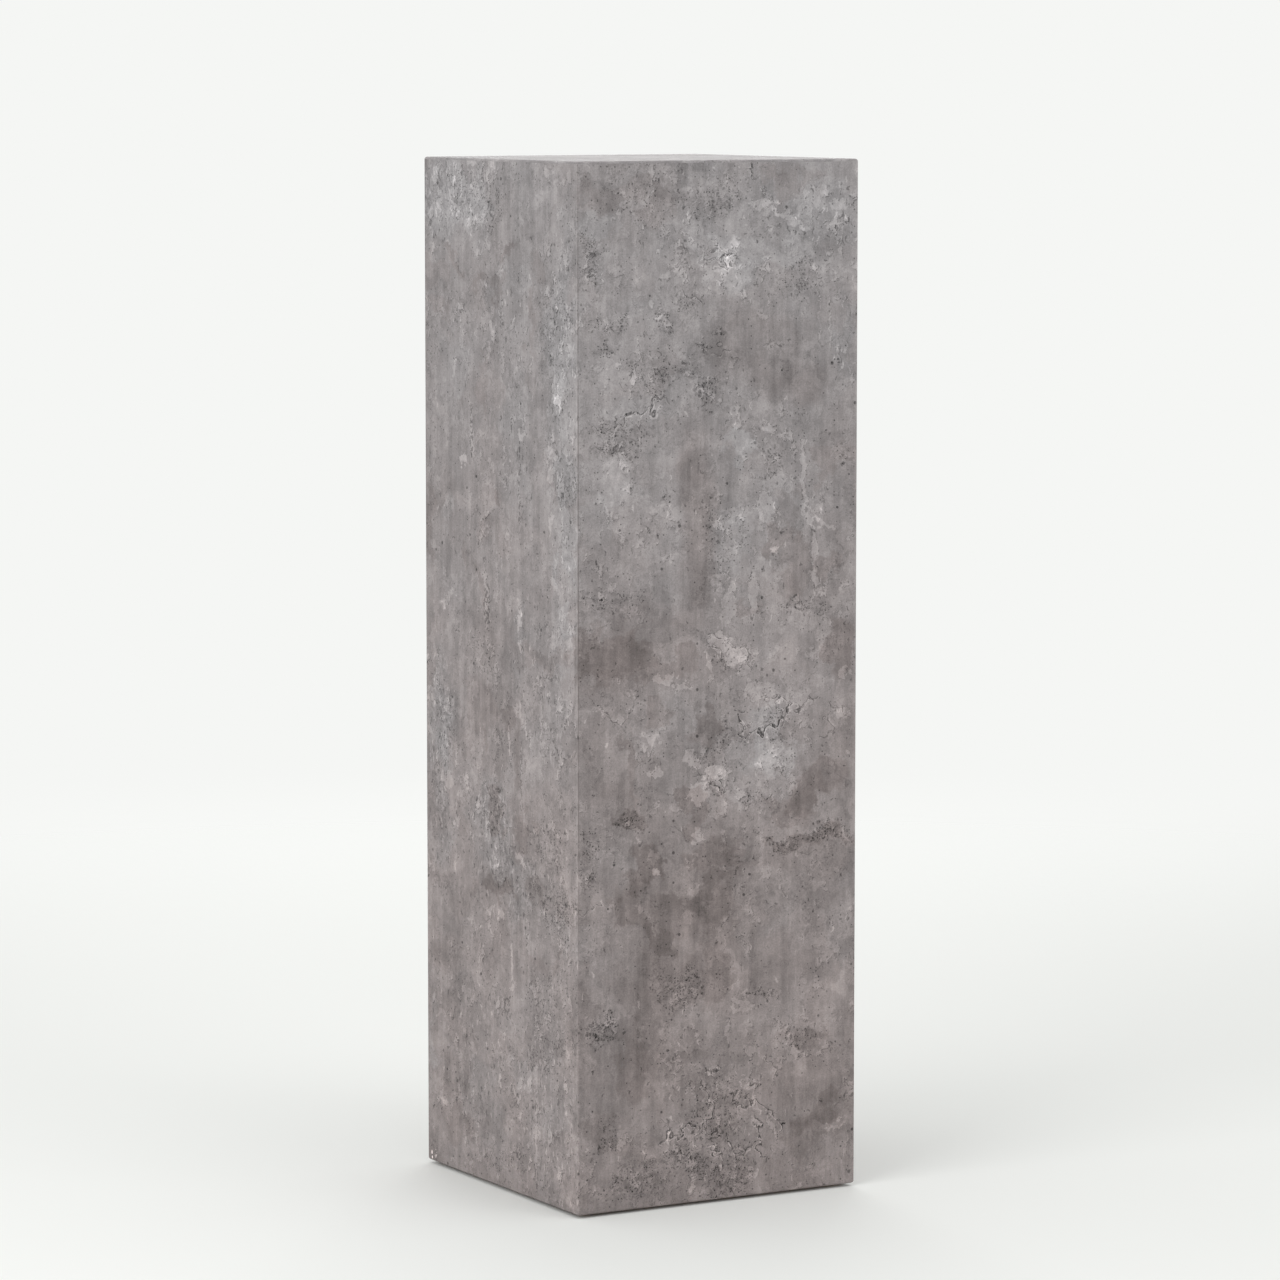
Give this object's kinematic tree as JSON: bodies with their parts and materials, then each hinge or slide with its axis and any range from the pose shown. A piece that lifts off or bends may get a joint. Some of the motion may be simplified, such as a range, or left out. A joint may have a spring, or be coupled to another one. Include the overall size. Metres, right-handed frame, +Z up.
{
  "type": "pedestal column stand",
  "caption": "Tall plain square column pedestal with concrete-look decor over a mitred board carcass, flat top to show an object on, resting on low glides.",
  "frame": {"origin": "on the floor under the middle of the column", "axes": "+Z up along the column, -Y out of the front wall, +X to the right of someone facing the front wall"},
  "size_m": [0.308, 0.308, 1],
  "materials": {
    "concrete_decor": "matt printed decor sheet, grey-brown trowelled concrete look",
    "fibreboard": "bare medium density fibreboard",
    "tongue_plywood": "bare birch plywood strip",
    "softwood": "planed softwood batten",
    "zinc_steel": "bright zinc plated steel",
    "glide_plastic": "dark moulded polyethylene"
  },
  "bodies": {
    "root": {"decor_wrap": "concrete_decor", "top_decor": "concrete_decor", "front_panel": "fibreboard", "right_panel": "fibreboard", "back_panel": "fibreboard", "left_panel": "fibreboard", "top_panel": "fibreboard", "base_panel": "fibreboard", "lower_stiffener": "fibreboard", "upper_stiffener": "fibreboard", "corner_tongue_front_right": "tongue_plywood", "corner_tongue_back_right": "tongue_plywood", "corner_tongue_back_left": "tongue_plywood", "corner_tongue_front_left": "tongue_plywood", "top_tongue_front": "tongue_plywood", "top_tongue_right": "tongue_plywood", "top_tongue_back": "tongue_plywood", "top_tongue_left": "tongue_plywood", "front_cleat": "softwood", "right_cleat": "softwood", "back_cleat": "softwood", "left_cleat": "softwood", "cleat_screws": "zinc_steel", "base_screws": "zinc_steel", "glide_front_right": "glide_plastic", "glide_back_right": "glide_plastic", "glide_back_left": "glide_plastic", "glide_front_left": "glide_plastic", "glide_nails": "zinc_steel"}
  },
  "joints": []
}
